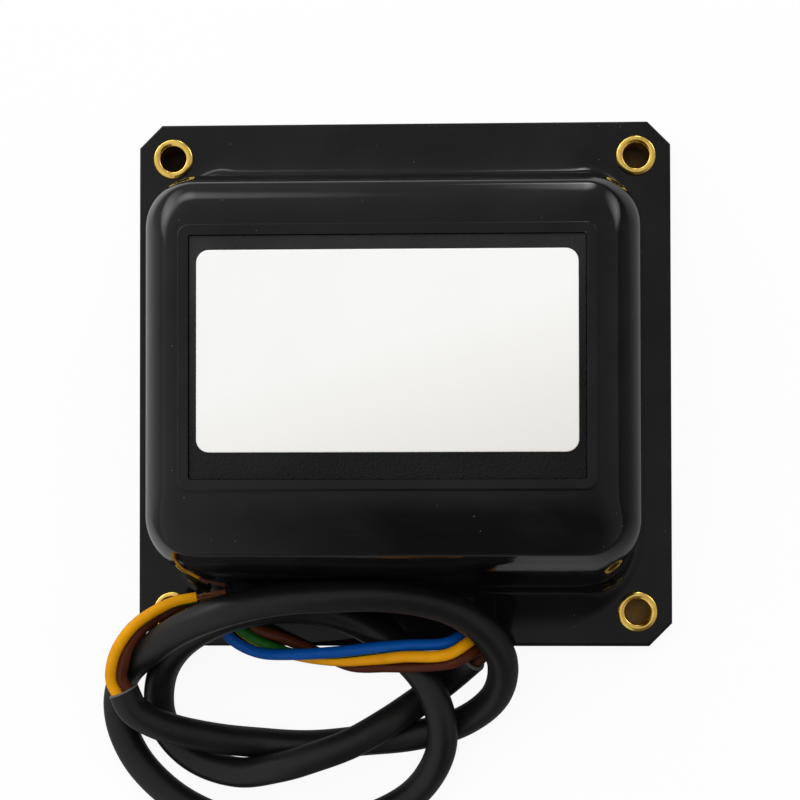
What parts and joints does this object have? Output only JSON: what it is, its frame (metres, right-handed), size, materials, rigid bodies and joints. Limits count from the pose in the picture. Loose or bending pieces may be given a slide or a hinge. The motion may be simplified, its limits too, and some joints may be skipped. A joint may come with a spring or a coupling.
{
  "type": "burner ignition transformer",
  "caption": "Resin-filled black moulded ignition transformer on a square flange, with a framed label face and a coiled three-core lead.",
  "frame": {"origin": "middle of the flange's back plane, on the surface that the part lies on", "axes": "+Z out of the back plane through the label face, +X across the label to its right, +Y up the label, away from the lead"},
  "size_m": [0.1199, 0.1526, 0.0572],
  "materials": {
    "housing_plastic": "polished black thermoset, faint dust and hairlines",
    "resin": "cast dark resin, slightly wavy",
    "grained_plastic": "fine leather grain, dark",
    "label_foil": "blank white satin foil, a little yellowed towards one corner",
    "eyelet_metal": "passivated rolled metal, yellow-gold tint",
    "insulator": "glass-filled insulator, satin",
    "contact_metal": "plain turned brass",
    "core_blue": "extruded blue core insulation",
    "core_green": "yellow core insulation with a green stripe winding round it",
    "core_brown": "extruded brown core insulation",
    "sheath": "black flexible sheath, satin",
    "strand_copper": "bare twisted copper strands"
  },
  "bodies": {
    "root": {"housing": "housing_plastic", "potting_resin": "resin", "label_panel": "grained_plastic", "rating_label": "label_foil", "eyelet_upper_left": "eyelet_metal", "eyelet_upper_right": "eyelet_metal", "eyelet_lower_left": "eyelet_metal", "eyelet_lower_right": "eyelet_metal", "socket_left": "insulator", "socket_right": "insulator", "contact_left": "contact_metal", "contact_right": "contact_metal", "lead_bush": "grained_plastic", "core_in_blue": "core_blue", "core_in_green": "core_green", "core_in_brown": "core_brown", "lead_sheath": "sheath", "core_out_blue": "core_blue", "core_out_green": "core_green", "core_out_brown": "core_brown", "strands_blue": "strand_copper", "strands_green": "strand_copper", "strands_brown": "strand_copper"}
  },
  "joints": []
}
